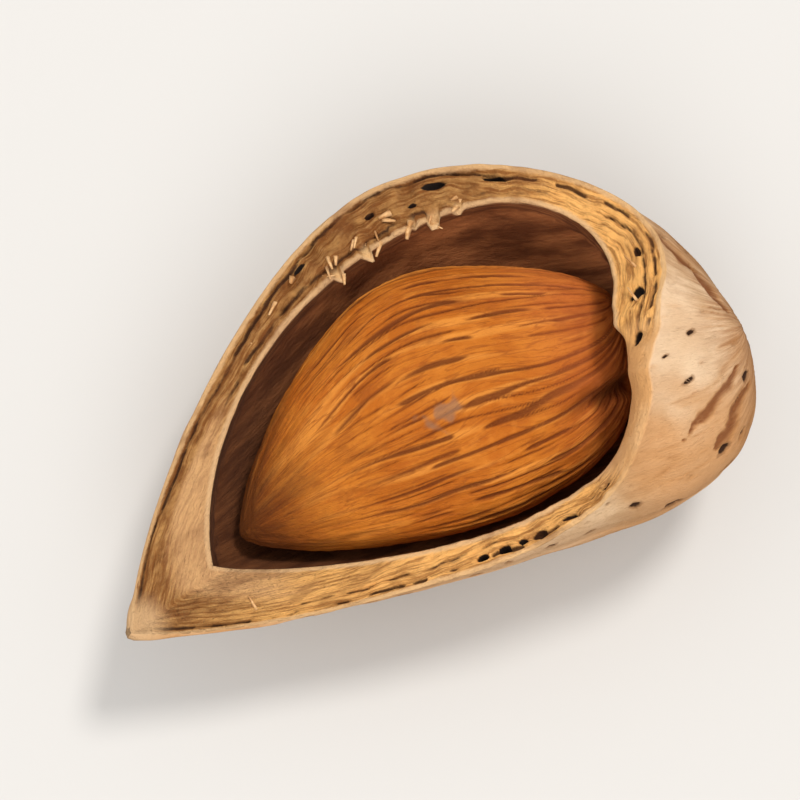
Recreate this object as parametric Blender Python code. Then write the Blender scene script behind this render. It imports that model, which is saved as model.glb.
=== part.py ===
"""An almond cracked open in its shell, with the kernel lying loose inside.

The lower cheek of the shell is whole. The upper cheek has broken away along the
seam, apart from a hood that stayed on at the stem end and covers the kernel's
broad end. The shell rests on a small flat spot under its deepest point.

Run it with: blender --background --python part.py
Metres. +X points to the stem end, +Y to the strongly curved edge, +Z up. The
origin is on the surface that the shell rests on, under the middle of its box.
"""

import math

import bmesh
import bpy
import numpy as np
from mathutils import Vector
from mathutils.geometry import interpolate_bezier

MM = 0.001

# ---- Driving dimensions ----
LENGTH = 36.0 * MM  # the shell, from its tip to its stem end
CHEEK_DEPTH = 7.6 * MM  # from the seam down to the lowest point of the lower cheek
CROWN_HEIGHT = 7.0 * MM  # from the seam up to the top of the upper cheek, when whole
CHEEK_WALL = 1.9 * MM  # how thick the shell is through the middle of a cheek
SPOT_CUT = 0.2 * MM  # how much of the lowest point is worn flat
KERNEL_THICKNESS = 7.6 * MM
KERNEL_LIFT = 0.4 * MM  # the air left under the kernel

# ---- Outlines ----
# Each is a closed curve in the seam plane: (anchor, handle before it, handle after
# it), as shares of LENGTH. The shell's tip is at (0, 0) and its stem end at x = 1.
SHELL_OUTLINE = (
    ((0.0, 0.0), (0.18, -0.085), (0.06, 0.15)),
    ((0.6, 0.474), (0.39, 0.474), (0.85, 0.474)),
    ((1.0, 0.065), (1.0, 0.25), (1.0, 0.015)),
    ((0.79, -0.14), (0.98, -0.14), (0.57, -0.14)),
)
CAVITY_OUTLINE = (
    ((0.15, 0.045), (0.21, 0.0), (0.175, 0.18)),
    ((0.65, 0.396), (0.35, 0.396), (0.83, 0.396)),
    ((0.885, 0.125), (0.885, 0.28), (0.885, -0.01)),
    ((0.633, -0.082), (0.79, -0.082), (0.46, -0.082)),
)
KERNEL_OUTLINE = (
    ((0.205, 0.08), (0.205, 0.03), (0.22, 0.15)),
    ((0.56, 0.342), (0.42, 0.342), (0.66, 0.342)),
    ((0.852, 0.19), (0.852, 0.235), (0.85, 0.02)),
    ((0.58, -0.056), (0.785, -0.056), (0.46, -0.056)),
)
SHELL_HEART = (0.6, 0.125)  # the point over the deepest part of the cheek
KERNEL_HEART = (0.55, 0.14)
POINTS_PER_SPAN = 40

# ---- How the cheeks are rounded ----
SHELL_FULLNESS = 2.2  # 2 is an ellipse, and more is boxier
CAVITY_FULLNESS = 3.0
KERNEL_FULLNESS = 2.4
ROUND_EDGE = 0.5  # the edge power of an ellipse, whose side stands upright
SHELL_TIP_EDGE = 0.95  # the same at the tip: 1 is a wedge
CAVITY_TIP_EDGE = 0.6
KERNEL_TIP_EDGE = 0.8
TIP_SPREAD = math.radians(24)  # how far round from the tip the wedge fades out

# ---- The break ----
# Sweep is 0 at the bottom of a form, 90 degrees on the seam and 180 at the top. Each
# row is a bearing round the shell's heart, then how far past the seam the shell ends
# there, on its outside and on its inside. All three are in degrees, and where the last
# two are large is the hood.
SEAM = math.pi / 2
BREAK = (
    (-165, 0, 0),
    (-110, 8, 6),
    (-85, 16, 12),
    (-60, 34, 20),
    (-42, 52, 33),
    (-20, 56, 43),
    (0, 45, 43),
    (16, 22, 27),
    (35, 4, 5),
    (55, 0, 0),
)
BREAK_EASE = np.radians(np.linspace(-9, 9, 7))  # the break is an average over these

# ---- Mesh ----
SHELL_CELLS = 16  # along each side of the box that the shell is shaped from
SHELL_ROWS = 10
KERNEL_CELLS = 12
PLAN_RATIO = 0.62  # breadth over length, which spaces the cells evenly
SHARP_ANGLE = math.radians(40)


def plan(point):
    """A point of an outline in metres, with the shell's box centred on the origin."""
    across = [anchor[1] for anchor, _, _ in SHELL_OUTLINE]
    middle = Vector((0.5, (min(across) + max(across)) / 2, 0))
    return (Vector((*point, 0)) - middle) * LENGTH


def outline_reach(outline, heart):
    """A function from the bearing round the heart to the outline's distance there."""
    points = []
    for (start, _, leave), (end, arrive, _) in zip(outline, outline[1:] + outline[:1]):
        knots = [plan(p) for p in (start, leave, arrive, end)]
        points += interpolate_bezier(*knots, POINTS_PER_SPAN)[:-1]
    arms = np.array([p - heart for p in points])[:, :2]
    bearings = np.arctan2(arms[:, 1], arms[:, 0])
    order = np.argsort(bearings)
    bearings, lengths = bearings[order], np.hypot(*arms.T)[order]
    return lambda bearing: float(
        np.interp(bearing, bearings, lengths, period=2 * math.pi)
    )


class Form:
    """A rounded body. It has an outline in plan, a lowest and a highest point over its
    heart, and between them its sides are those of an ellipse, or fuller."""

    def __init__(self, outline, heart, level, depth, height, fullness, tip_edge):
        self.heart = plan(heart) + Vector((0, 0, level))
        self.reach = outline_reach(outline, plan(heart))
        tip = plan(outline[0][0]) - plan(heart)
        self.tip_bearing = math.atan2(tip.y, tip.x)
        self.depth = depth
        self.height = height
        self.fullness = fullness
        self.tip_edge = tip_edge

    def point(self, bearing, sweep):
        out = math.sin(sweep)
        turn = math.remainder(bearing - self.tip_bearing, 2 * math.pi)
        at_tip = math.exp(-((turn / TIP_SPREAD) ** 2))
        edge = ROUND_EDGE + (self.tip_edge - ROUND_EDGE) * at_tip
        rise = max(0.0, 1 - out**self.fullness) ** edge
        level = self.height * rise if sweep > SEAM else -self.depth * rise
        aside = Vector((math.cos(bearing), math.sin(bearing), 0))
        return self.heart + aside * self.reach(bearing) * out + Vector((0, 0, level))


def break_sweep(bearing, side):
    """The sweep at which the shell ends, on its outside (side 0) or its inside (1)."""
    bearings, *past_seam = np.radians(BREAK).T
    near = np.interp(bearing + BREAK_EASE, bearings, past_seam[side], period=2 * math.pi)
    return SEAM + float(near.mean())


def cell_angles(co):
    """The bearing and sweep of a point on the box, before the form's own turn."""
    x, y, z = (math.tan(c * math.pi / 4) for c in co)
    bearing = math.atan2(y * PLAN_RATIO, x)
    return bearing, math.acos(-z / math.sqrt(x * x + y * y + z * z))


def upright(edge):
    a, b = (v.co for v in edge.verts)
    return abs(a.z - b.z) > abs(a.x - b.x) + abs(a.y - b.y)


def open_box(cells, rows):
    """A box with no lid, as a grid: its rim is at z = 0 and its floor at z = -1."""
    bm = bmesh.new()
    bmesh.ops.create_cube(bm, size=2)
    lid = [f for f in bm.faces if f.normal.z > 0.5]
    bmesh.ops.delete(bm, geom=lid, context="FACES")
    for v in bm.verts:
        v.co.z = (v.co.z - 1) / 2
    posts = [e for e in bm.edges if upright(e)]
    bmesh.ops.subdivide_edges(bm, edges=posts, cuts=rows - 1, use_grid_fill=True)
    level = [e for e in bm.edges if not upright(e)]
    bmesh.ops.subdivide_edges(bm, edges=level, cuts=cells - 1, use_grid_fill=True)
    return bm


def shell_wall(form, side):
    """One side of the shell, outer or inner, from its lowest point to the break."""
    bm = open_box(SHELL_CELLS, SHELL_ROWS)
    for v in bm.verts:
        bearing, sweep = cell_angles(v.co)
        bearing += form.tip_bearing - math.pi
        v.co = form.point(bearing, sweep / SEAM * break_sweep(bearing, side))
    mesh = bpy.data.meshes.new("wall")
    bm.to_mesh(mesh)
    bm.free()
    return mesh


def shell_mesh(outside, cavity):
    bm = bmesh.new()
    bm.from_mesh(shell_wall(outside, 0))
    bm.from_mesh(shell_wall(cavity, 1))
    rims = [e for e in bm.edges if e.is_boundary]
    bridge = bmesh.ops.bridge_loops(bm, edges=rims)
    struts = [e for e in bridge["edges"] if e not in rims]
    bmesh.ops.subdivide_edges(bm, edges=struts, cuts=1, use_grid_fill=True)
    for v in bm.verts:
        v.co.z = max(v.co.z, 0.0)
    bmesh.ops.recalc_face_normals(bm, faces=bm.faces)
    mesh = bpy.data.meshes.new("shell")
    bm.to_mesh(mesh)
    bm.free()
    return mesh


def kernel_mesh(form):
    bm = bmesh.new()
    bmesh.ops.create_cube(bm, size=2)
    bmesh.ops.subdivide_edges(
        bm, edges=bm.edges, cuts=KERNEL_CELLS - 1, use_grid_fill=True
    )
    for v in bm.verts:
        bearing, sweep = cell_angles(v.co)
        v.co = form.point(bearing + form.tip_bearing - math.pi, sweep)
    bmesh.ops.recalc_face_normals(bm, faces=bm.faces)
    mesh = bpy.data.meshes.new("kernel")
    bm.to_mesh(mesh)
    bm.free()
    return mesh


def material(name, colour, roughness):
    made = bpy.data.materials.new(name)
    made.use_nodes = True
    shader = made.node_tree.nodes["Principled BSDF"]
    shader.inputs["Base Color"].default_value = (*colour, 1)
    shader.inputs["Roughness"].default_value = roughness
    shader.inputs["Metallic"].default_value = 0.0
    made.diffuse_color = (*colour, 1)
    return made


def add(name, mesh, finish):
    mesh.shade_smooth()
    mesh.set_sharp_from_angle(angle=SHARP_ANGLE)
    mesh.materials.append(finish)
    obj = bpy.data.objects.new(name, mesh)
    bpy.context.scene.collection.objects.link(obj)
    return obj


def main():
    for obj in list(bpy.data.objects):
        bpy.data.objects.remove(obj)

    seam_level = CHEEK_DEPTH - SPOT_CUT
    outside = Form(
        SHELL_OUTLINE,
        SHELL_HEART,
        seam_level,
        CHEEK_DEPTH,
        CROWN_HEIGHT,
        SHELL_FULLNESS,
        SHELL_TIP_EDGE,
    )
    cavity = Form(
        CAVITY_OUTLINE,
        SHELL_HEART,
        seam_level,
        CHEEK_DEPTH - CHEEK_WALL,
        CROWN_HEIGHT - CHEEK_WALL,
        CAVITY_FULLNESS,
        CAVITY_TIP_EDGE,
    )
    half = KERNEL_THICKNESS / 2
    kernel = Form(
        KERNEL_OUTLINE,
        KERNEL_HEART,
        CHEEK_WALL - SPOT_CUT + KERNEL_LIFT + half,
        half,
        half,
        KERNEL_FULLNESS,
        KERNEL_TIP_EDGE,
    )

    shell_finish = material("shell_wood", (0.62, 0.43, 0.26), 0.8)
    kernel_finish = material("kernel_skin", (0.5, 0.19, 0.045), 0.6)
    add("shell", shell_mesh(outside, cavity), shell_finish)
    add("kernel", kernel_mesh(kernel), kernel_finish)


main()
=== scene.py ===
# %% [markdown]
# # An almond, cracked open
# The nut is two pieces: a hard woody shell whose upper cheek has broken away, apart from
# a hood at the stem end, and the kernel that lies loose in it. Both CAD solids are plain,
# so each is replaced by a finely divided mesh of the same form. Its relief is real
# geometry: pits, furrows, the layers of the broken wall and the kernel's wrinkles. The
# materials then colour that relief from the same numbers, kept as mesh attributes.

import math
import random

import bmesh
import bpy
import numpy as np
from numpy.linalg import norm
from mathutils import Matrix, Vector, noise
from mathutils.geometry import interpolate_bezier


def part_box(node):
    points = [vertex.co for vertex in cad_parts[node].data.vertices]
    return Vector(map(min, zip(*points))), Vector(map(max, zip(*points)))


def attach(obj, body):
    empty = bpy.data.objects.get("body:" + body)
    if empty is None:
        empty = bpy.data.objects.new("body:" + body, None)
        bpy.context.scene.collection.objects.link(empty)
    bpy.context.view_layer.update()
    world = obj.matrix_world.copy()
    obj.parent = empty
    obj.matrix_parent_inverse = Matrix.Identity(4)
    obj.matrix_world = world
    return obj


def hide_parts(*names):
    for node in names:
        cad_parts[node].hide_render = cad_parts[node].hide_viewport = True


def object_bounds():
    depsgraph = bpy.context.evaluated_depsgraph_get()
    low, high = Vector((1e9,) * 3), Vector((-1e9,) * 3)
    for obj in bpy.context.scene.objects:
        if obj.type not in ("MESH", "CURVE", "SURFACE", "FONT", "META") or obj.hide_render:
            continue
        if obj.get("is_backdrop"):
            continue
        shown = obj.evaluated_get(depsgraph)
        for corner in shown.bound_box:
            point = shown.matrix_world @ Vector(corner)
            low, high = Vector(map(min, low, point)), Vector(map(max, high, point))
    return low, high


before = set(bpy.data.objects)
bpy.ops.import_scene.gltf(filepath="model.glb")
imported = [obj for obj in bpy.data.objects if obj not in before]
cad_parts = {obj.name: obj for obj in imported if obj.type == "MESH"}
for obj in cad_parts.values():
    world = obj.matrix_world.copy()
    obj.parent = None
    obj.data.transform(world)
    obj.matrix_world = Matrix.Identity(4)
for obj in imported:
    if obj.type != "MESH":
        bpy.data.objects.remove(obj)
CAD_LOW, CAD_HIGH = (corner.copy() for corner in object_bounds())
MM = 0.001
print("CAD box, mm:", [round(v / MM, 2) for v in (*CAD_LOW, *CAD_HIGH)])

# %% [markdown]
# ## The form of the nut
# Every surface here is a rounded body over an outline. The outline is a closed Bezier
# curve in the plane of the seam, and a point on the body is found by its bearing round
# the body's heart and by its sweep: 0 at the bottom, 90 degrees on the seam, 180 at the
# top. The same few curves shaped the CAD solids, so the fine meshes lie on them. A
# sculpted mesh would drift from the solid's size.

# %% Measures from the frame
LENGTH = CAD_HIGH.x - CAD_LOW.x
SEAM_LEVEL = min(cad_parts["shell"].data.vertices, key=lambda v: v.co.x).co.z
CHEEK_WALL = 1.9 * MM
CROWN_HEIGHT = 7.0 * MM
SPOT_CUT = 0.2 * MM  # the flat spot that the shell rests on, cut from its lowest point
CHEEK_DEPTH = SEAM_LEVEL + SPOT_CUT
SEAM = math.pi / 2
print("length and seam level, mm:", round(LENGTH / MM, 2), round(SEAM_LEVEL / MM, 2))

# %% The outlines, as shares of the length
# A row is a point, the handle that leads to it and the handle that leads on from it.
SHELL_OUTLINE = (
    ((0.0, 0.0), (0.18, -0.085), (0.06, 0.15)),
    ((0.6, 0.474), (0.39, 0.474), (0.85, 0.474)),
    ((1.0, 0.065), (1.0, 0.25), (1.0, 0.015)),
    ((0.79, -0.14), (0.98, -0.14), (0.57, -0.14)),
)
CAVITY_OUTLINE = (
    ((0.15, 0.045), (0.21, 0.0), (0.175, 0.18)),
    ((0.65, 0.396), (0.35, 0.396), (0.83, 0.396)),
    ((0.885, 0.125), (0.885, 0.28), (0.885, -0.01)),
    ((0.633, -0.082), (0.79, -0.082), (0.46, -0.082)),
)
KERNEL_OUTLINE = (
    ((0.205, 0.08), (0.205, 0.03), (0.22, 0.15)),
    ((0.56, 0.342), (0.42, 0.342), (0.66, 0.342)),
    ((0.852, 0.19), (0.852, 0.235), (0.85, 0.02)),
    ((0.58, -0.056), (0.785, -0.056), (0.46, -0.056)),
)
SHELL_HEART = (0.6, 0.125)
KERNEL_HEART = (0.55, 0.14)
ACROSS = [anchor[1] for anchor, _, _ in SHELL_OUTLINE]
MIDDLE = Vector((0.5, (min(ACROSS) + max(ACROSS)) / 2, 0))
POINTS_PER_SPAN = 60


def plan(point):
    """A point of an outline in metres, in the frame's own place."""
    return (Vector((*point, 0)) - MIDDLE) * LENGTH


def outline_points(outline):
    """Points all the way round an outline, in metres."""
    points = []
    for (start, _, leave), (end, arrive, _) in zip(outline, outline[1:] + outline[:1]):
        knots = [plan(p) for p in (start, leave, arrive, end)]
        points += interpolate_bezier(*knots, POINTS_PER_SPAN)[:-1]
    return np.array(points)[:, :2]


print("points on the shell's outline:", len(outline_points(SHELL_OUTLINE)))

# %% [markdown]
# The tip of a nut is a wedge and the rest of its edge is round. One number does both:
# the power that the height rises with, which is a half on an ellipse and one on a wedge.

# %% A rounded body
ROUND_EDGE = 0.5
TIP_SPREAD = math.radians(24)


def half_turn(angle):
    """The same angle, brought to within half a turn of zero."""
    return np.remainder(angle + np.pi, 2 * np.pi) - np.pi


class Form:
    """A rounded body over an outline."""

    def __init__(self, outline, heart, level, depth, height, fullness, tip_edge):
        self.heart = np.array(plan(heart)) + (0, 0, level)
        arms = outline_points(outline) - self.heart[:2]
        bearings = np.arctan2(arms[:, 1], arms[:, 0])
        order = np.argsort(bearings)
        self.bearings, self.arms = bearings[order], np.hypot(*arms.T)[order]
        tip = outline_points(outline)[0] - self.heart[:2]
        self.tip_bearing = math.atan2(tip[1], tip[0])
        self.depth, self.height = depth, height
        self.fullness, self.tip_edge = fullness, tip_edge

    def points(self, bearing, sweep):
        """Points at arrays of bearings and sweeps."""
        out = np.sin(sweep)
        turn = half_turn(bearing - self.tip_bearing)
        edge = ROUND_EDGE + (self.tip_edge - ROUND_EDGE) * np.exp(-((turn / TIP_SPREAD) ** 2))
        rise = np.maximum(1 - out**self.fullness, 0) ** edge
        level = np.where(sweep > SEAM, self.height, -self.depth) * rise
        arm = np.interp(bearing, self.bearings, self.arms, period=2 * np.pi) * out
        aside = [np.cos(bearing) * arm, np.sin(bearing) * arm, level]
        return self.heart + np.column_stack(aside)


outside = Form(
    SHELL_OUTLINE, SHELL_HEART, SEAM_LEVEL, CHEEK_DEPTH, CROWN_HEIGHT, fullness=2.2, tip_edge=0.95
)
inner_depth, inner_height = CHEEK_DEPTH - CHEEK_WALL, CROWN_HEIGHT - CHEEK_WALL
cavity = Form(
    CAVITY_OUTLINE, SHELL_HEART, SEAM_LEVEL, inner_depth, inner_height, fullness=3.0, tip_edge=0.6
)
kernel_low, kernel_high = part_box("kernel")
kernel_half = (kernel_high.z - kernel_low.z) / 2
kernel_level = (kernel_high.z + kernel_low.z) / 2
seed = Form(
    KERNEL_OUTLINE, KERNEL_HEART, kernel_level, kernel_half, kernel_half, fullness=2.4, tip_edge=0.8
)
print("the shell's tip bears", round(math.degrees(outside.tip_bearing)), "degrees")

# %% [markdown]
# ## Noise to break things up
# Nothing that grew is even. All the unevenness comes from one smooth noise, read at
# points that are stretched along the grain. Where it crosses zero it draws long thin
# lines, which is how the furrows of the shell are made.


# %% Noise helpers
def bumps(points, shift=0.0):
    """Smooth noise of about -0.6 to 0.6 at each point. Another shift gives another noise."""
    return np.array([noise.noise(p) for p in (points + shift).tolist()])


def ease(low, high, value):
    """0 below low and 1 above high, with a smooth step between. It falls if low > high."""
    share = np.clip((value - low) / (high - low), 0, 1)
    return share * share * (3 - 2 * share)


def near(value, middle, reach):
    """1 where the value is at the middle, falling evenly to 0 at a reach from it."""
    return np.maximum(1 - np.abs(value - middle) / reach, 0)


def lines(points, width, shift):
    """1 along the lines where the noise crosses zero, falling to 0 at the width."""
    return near(bumps(points, shift), 0, width) ** 2


def tell(what, values):
    """Prints the least and the greatest of some values."""
    print(what, "from", values.min().round(2), "to", values.max().round(2))


tell("noise", bumps(np.linspace((0, 0, 0), (9, 9, 9), 99)))

# %% [markdown]
# ## The break
# The shell cracked along its seam, where its halves meet, except at the stem end. There
# the crack climbed over the upper cheek, and left the hood. A few rows say where, and a
# ragged offset is added, because a woody wall never breaks in a clean curve.

# %% Where the shell ends
# A row is a bearing, then how far past the seam the wall ends outside and inside, in degrees.
BREAK = (
    (-165, 0, 0),
    (-110, 8, 6),
    (-85, 16, 12),
    (-60, 34, 20),
    (-42, 52, 33),
    (-20, 56, 43),
    (0, 45, 43),
    (16, 22, 27),
    (35, 4, 5),
    (55, 0, 0),
)
BREAK_EASE = np.radians(np.linspace(-9, 9, 7))  # the table's corners are averaged away
RAGGED = ((0.03, 3.5, 3), (0.022, 0.9, 7))  # height in radians, size in mm and shift
OUTER, INNER = 0, 1
RING = 14.0  # mm: the radius of a circle about as long as the rim


def break_sweep(bearing, side):
    """The sweep at which one side of the wall ends, at an array of bearings."""
    bearings, *past_seam = np.radians(BREAK).T
    around = bearing[:, None] + BREAK_EASE
    mean = np.interp(around, bearings, past_seam[side], period=2 * np.pi).mean(axis=1)
    circle = np.column_stack([np.cos(bearing), np.sin(bearing), 0 * bearing]) * RING
    ragged = sum(height * bumps(circle / size, shift + side) for height, size, shift in RAGGED)
    return SEAM + mean + ragged


print("sweep at the hood:", np.degrees(break_sweep(np.array([-0.5]), OUTER)).round(1))

# %% [markdown]
# ## The shell's mesh
# A sphere made of rings has poles, where long thin faces crowd together. A box that is
# blown up has none, so each side of the wall starts as a box without a lid, divided into
# a fine grid. The two open edges are bridged, and the bridge is the broken wall's face.

# %% An open box, divided
SHELL_CELLS = 144  # along each side of the box
SHELL_ROWS = 56
LINING_ROWS = 12
PLAN_RATIO = 0.62  # breadth over length, which spaces the cells evenly


def upright(edge):
    a, b = (v.co for v in edge.verts)
    return abs(a.z - b.z) > abs(a.x - b.x) + abs(a.y - b.y)


def as_mesh(bm, name):
    mesh = bpy.data.meshes.new(name)
    bm.to_mesh(mesh)
    bm.free()
    return mesh


def open_box(cells, rows):
    """A divided box without a lid. Its rim is at z = 0 and its floor at z = -1."""
    bm = bmesh.new()
    bmesh.ops.create_cube(bm, size=2)
    lid = [f for f in bm.faces if f.normal.z > 0.5]
    bmesh.ops.delete(bm, geom=lid, context="FACES")
    for v in bm.verts:
        v.co.z = (v.co.z - 1) / 2
    posts = [e for e in bm.edges if upright(e)]
    bmesh.ops.subdivide_edges(bm, edges=posts, cuts=rows - 1, use_grid_fill=True)
    level = [e for e in bm.edges if not upright(e)]
    bmesh.ops.subdivide_edges(bm, edges=level, cuts=cells - 1, use_grid_fill=True)
    return as_mesh(bm, "box")


def get(mesh, what="co"):
    """The place or the normal of every vertex, one to a row."""
    values = np.empty(len(mesh.vertices) * 3)
    mesh.vertices.foreach_get(what, values)
    return values.reshape(-1, 3)


def put(mesh, co):
    """Moves the vertices to new places."""
    mesh.vertices.foreach_set("co", co.ravel())
    mesh.update()


def cell_angles(co, tip_bearing):
    """The bearing and sweep of points on the box, whose -X side turns to the tip."""
    x, y, z = np.tan(co * np.pi / 4).T
    bearing = np.arctan2(y * PLAN_RATIO, x) + tip_bearing - np.pi
    return bearing, np.arccos(-z / np.sqrt(x * x + y * y + z * z))


def wall(form, side, rows):
    """One side of the shell, and how far up it each vertex is: 0 at the bottom, 1 at the top."""
    mesh = open_box(SHELL_CELLS, rows)
    bearing, sweep = cell_angles(get(mesh), form.tip_bearing)
    rise = sweep / SEAM
    co = form.points(bearing, rise * break_sweep(bearing, side))
    put(mesh, co)
    return mesh, rise


skin_mesh, skin_rise = wall(outside, OUTER, SHELL_ROWS)
lining_mesh, lining_rise = wall(cavity, INNER, LINING_ROWS)
print("outer and inner wall:", len(skin_mesh.polygons), len(lining_mesh.polygons), "faces")

# %% [markdown]
# One number, the span, runs over the whole shell: 0 to 1 up its outside, 1 to 2 across
# the broken face and 2 to 3 down its lining. It is kept on the vertices before the bridge
# is cut into strips, and the cuts share it out.

# %% Bridge the two walls
RIM_CUTS = 19

shell_bm = bmesh.new()
shell_bm.from_mesh(skin_mesh)
shell_bm.from_mesh(lining_mesh)
span_layer = shell_bm.verts.layers.float.new("span")
for vertex, value in zip(shell_bm.verts, np.concatenate([skin_rise, 3 - lining_rise])):
    vertex[span_layer] = value
rims = {e for e in shell_bm.edges if e.is_boundary}
bridge = bmesh.ops.bridge_loops(shell_bm, edges=list(rims))
struts = [e for e in bridge["edges"] if e not in rims]
bmesh.ops.subdivide_edges(shell_bm, edges=struts, cuts=RIM_CUTS, use_grid_fill=True)
bmesh.ops.recalc_face_normals(shell_bm, faces=shell_bm.faces)
shell_mesh = as_mesh(shell_bm, "cracked_shell")
print("the shell has", len(shell_mesh.polygons), "faces")

# %% [markdown]
# ## Where each vertex lies
# The relief needs to know three places: how far round the rim a vertex is, how far in
# from the outer edge it is, and where it lies along and round the nut's own grain, whose
# lines run from the stem to the tip.

# %% Places on the rim, in mm
ROUND_STEPS = 720

co = get(shell_mesh)
span = np.empty(len(co))
shell_mesh.attributes["span"].data.foreach_get("value", span)
arm = co - outside.heart
bearing = np.arctan2(arm[:, 1], arm[:, 0])

samples = np.linspace(-np.pi, np.pi, ROUND_STEPS + 1)
outer_edge = outside.points(samples, break_sweep(samples, OUTER))
inner_edge = cavity.points(samples, break_sweep(samples, INNER))
strides = norm(np.diff(outer_edge, axis=0), axis=1)
along = np.concatenate([[0], np.cumsum(strides)]) / MM
widths = norm(outer_edge - inner_edge, axis=1) / MM
lap_at = along / along[-1] * 2 * np.pi
lap = np.interp(bearing, samples, lap_at)  # the way round the rim, as an angle
wall_width = np.interp(bearing, samples, widths)
across = np.clip(span - 1, 0, 1)
inward = across * wall_width  # from the outer edge
ledge = (1 - across) * wall_width  # from the inner edge
rim_radius = along[-1] / (2 * np.pi)
ring = np.column_stack([np.cos(lap) * rim_radius, np.sin(lap) * rim_radius, inward])
print("the rim is", round(along[-1]), "mm long and", widths.min().round(1), "mm wide or more")

# %% Places along the grain
GRAIN_RADIUS = 7.0  # mm, about half the nut's breadth
THIN_END = 0.4 * MM  # the breadth is taken as no less than this near the ends


def grain_of(co, outline):
    """For each point its length along the nut and its place round it, in mm."""
    edge = outline_points(outline)
    tip, stem = edge[:, 0].argmin(), edge[:, 0].argmax()
    edge = np.roll(edge, -tip, axis=0)
    stem = (stem - tip) % len(edge)
    high, low = edge[: stem + 1], np.concatenate([edge[stem:], edge[:1]])[::-1]
    top = np.interp(co[:, 0], *high.T)
    bottom = np.interp(co[:, 0], *low.T)
    aside = (co[:, 1] - bottom) / np.maximum(top - bottom, THIN_END)
    cosine = np.clip(2 * aside - 1, -1, 1)
    side_up = np.clip((co[:, 2] - SEAM_LEVEL) / MM, -1, 1)
    sine = side_up * np.sqrt(1 - cosine**2)
    return np.column_stack([co[:, 0] / MM, GRAIN_RADIUS * cosine, GRAIN_RADIUS * sine])


grain = grain_of(co, SHELL_OUTLINE)
share = (co[:, 0] - CAD_LOW.x) / LENGTH  # 0 at the tip and 1 at the stem
print("grain runs from", grain.min(axis=0).round(1), "to", grain.max(axis=0).round(1))

# %% [markdown]
# ## Rounded edges
# A bridge leaves razor edges, and wood has none. Each vertex is drawn towards the middle
# of its neighbours a few times near the edges of the break. The hood's lower edge is worn
# round, so there it is done many more times, until skin and broken face run together.


# %% Wear the edges
EDGE_ROUNDS, HOOD_ROUNDS = 3, 60


def worn_down(mesh, co, strength, times):
    """Moves each vertex to its neighbours' middle by its own strength, 0 to 1, many times."""
    ends = np.empty(len(mesh.edges) * 2, np.int32)
    mesh.edges.foreach_get("vertices", ends)
    one, two = ends.reshape(-1, 2).T
    count = np.bincount(ends, minlength=len(co))
    for _ in range(times):
        total = np.column_stack(
            [
                np.bincount(one, co[two, axis], len(co)) + np.bincount(two, co[one, axis], len(co))
                for axis in range(3)
            ]
        )
        co = co + strength[:, None] * (total / count[:, None] - co)
    return co


degrees = np.degrees(bearing)
low_hood = ease(-66, -50, degrees) * ease(0, -14, degrees)
near_edge = ease(0.93, 0.985, span) * ease(2.1, 1.9, span)
co = worn_down(shell_mesh, co, 0.7 * low_hood * near_edge, HOOD_ROUNDS)
co = worn_down(shell_mesh, co, 0.5 * near_edge * ease(2.02, 1.98, span), EDGE_ROUNDS)
put(shell_mesh, co)
print("vertices worn round:", (low_hood * near_edge > 0.1).sum())

# %% [markdown]
# ## Pits
# The outside of a hard almond shell is pricked with small deep pits, one every two
# millimetres or so, drawn out a little along the grain. They are scattered so that no two
# come close. Each vertex keeps its distance to the nearest pit in pit radii, which stays
# smooth between vertices, so the dark centre has a clean edge.

# %% Scatter the pits
PIT_TRIES = 9000
PIT_GAP = (1.25 * MM, 2.3 * MM)
PIT_RADIUS = (0.11 * MM, 0.3 * MM)
PIT_DEPTH = (0.12 * MM, 0.42 * MM)
STEM = np.array(plan((1.0, 0.03))) + (0, 0, SEAM_LEVEL)
HOOD_FLOOR = SEAM_LEVEL + 2.5 * MM  # higher up, the pits are few and small
HOOD_SKIPS = 0.75


def between(limits, part):
    """From the first limit, at 0, to the second, at 1."""
    return limits[0] + (limits[1] - limits[0]) * part


random.seed(11)
skin = np.flatnonzero(span < 0.985)
normals = get(shell_mesh, "normal")
pits = []
for index in random.sample(skin.tolist(), PIT_TRIES):
    here, gap = co[index], random.uniform(*PIT_GAP)
    crowded = any(np.sum((here - other[0]) ** 2) < gap * gap for other in pits)
    near_ends = share[index] > 0.97 or share[index] < 0.06
    if crowded or near_ends or random.random() < 0.9 * ease(0.35, 0.05, share[index]):
        continue
    towards = STEM - here
    towards -= normals[index] * (towards @ normals[index])
    towards /= norm(towards)
    size = random.uniform(0, 1) ** 1.6
    if here[2] > HOOD_FLOOR:
        if random.random() < HOOD_SKIPS:
            continue
        size *= 0.25
    stretch = random.uniform(1.0, 1.5) + 1.1 * ease(0.7, 0.95, share[index])
    depth = between(PIT_DEPTH, size * random.uniform(0.6, 1))
    pits.append((here, towards, between(PIT_RADIUS, size), stretch, depth))
print("pits:", len(pits))

# %% Add the hood's own marks
HOOD_MARKS = (
    (14.8, -3.7, 0.15, 2.6),
    (13.6, -6.0, 0.14, 4.0),
    (12.9, -4.4, 0.1, 2.5),
)  # place in plan and half width in mm, then how many times longer each is than wide
MARK_LIE = np.array((0.96, 0.2, -0.2))
MARK_DEPTH = 0.25 * MM

on_top = skin[co[skin, 2] >= SEAM_LEVEL]
for x, y, half_width, stretch in HOOD_MARKS:
    gaps = norm(co[on_top, :2] / MM - (x, y), axis=1)
    pits.append((co[on_top[gaps.argmin()]], MARK_LIE, half_width * MM, stretch, MARK_DEPTH))
print("pits and marks:", len(pits))

# %% Measure every vertex against them
FAR_OFF = 9.0  # pit radii, for a vertex that is near none

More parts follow.
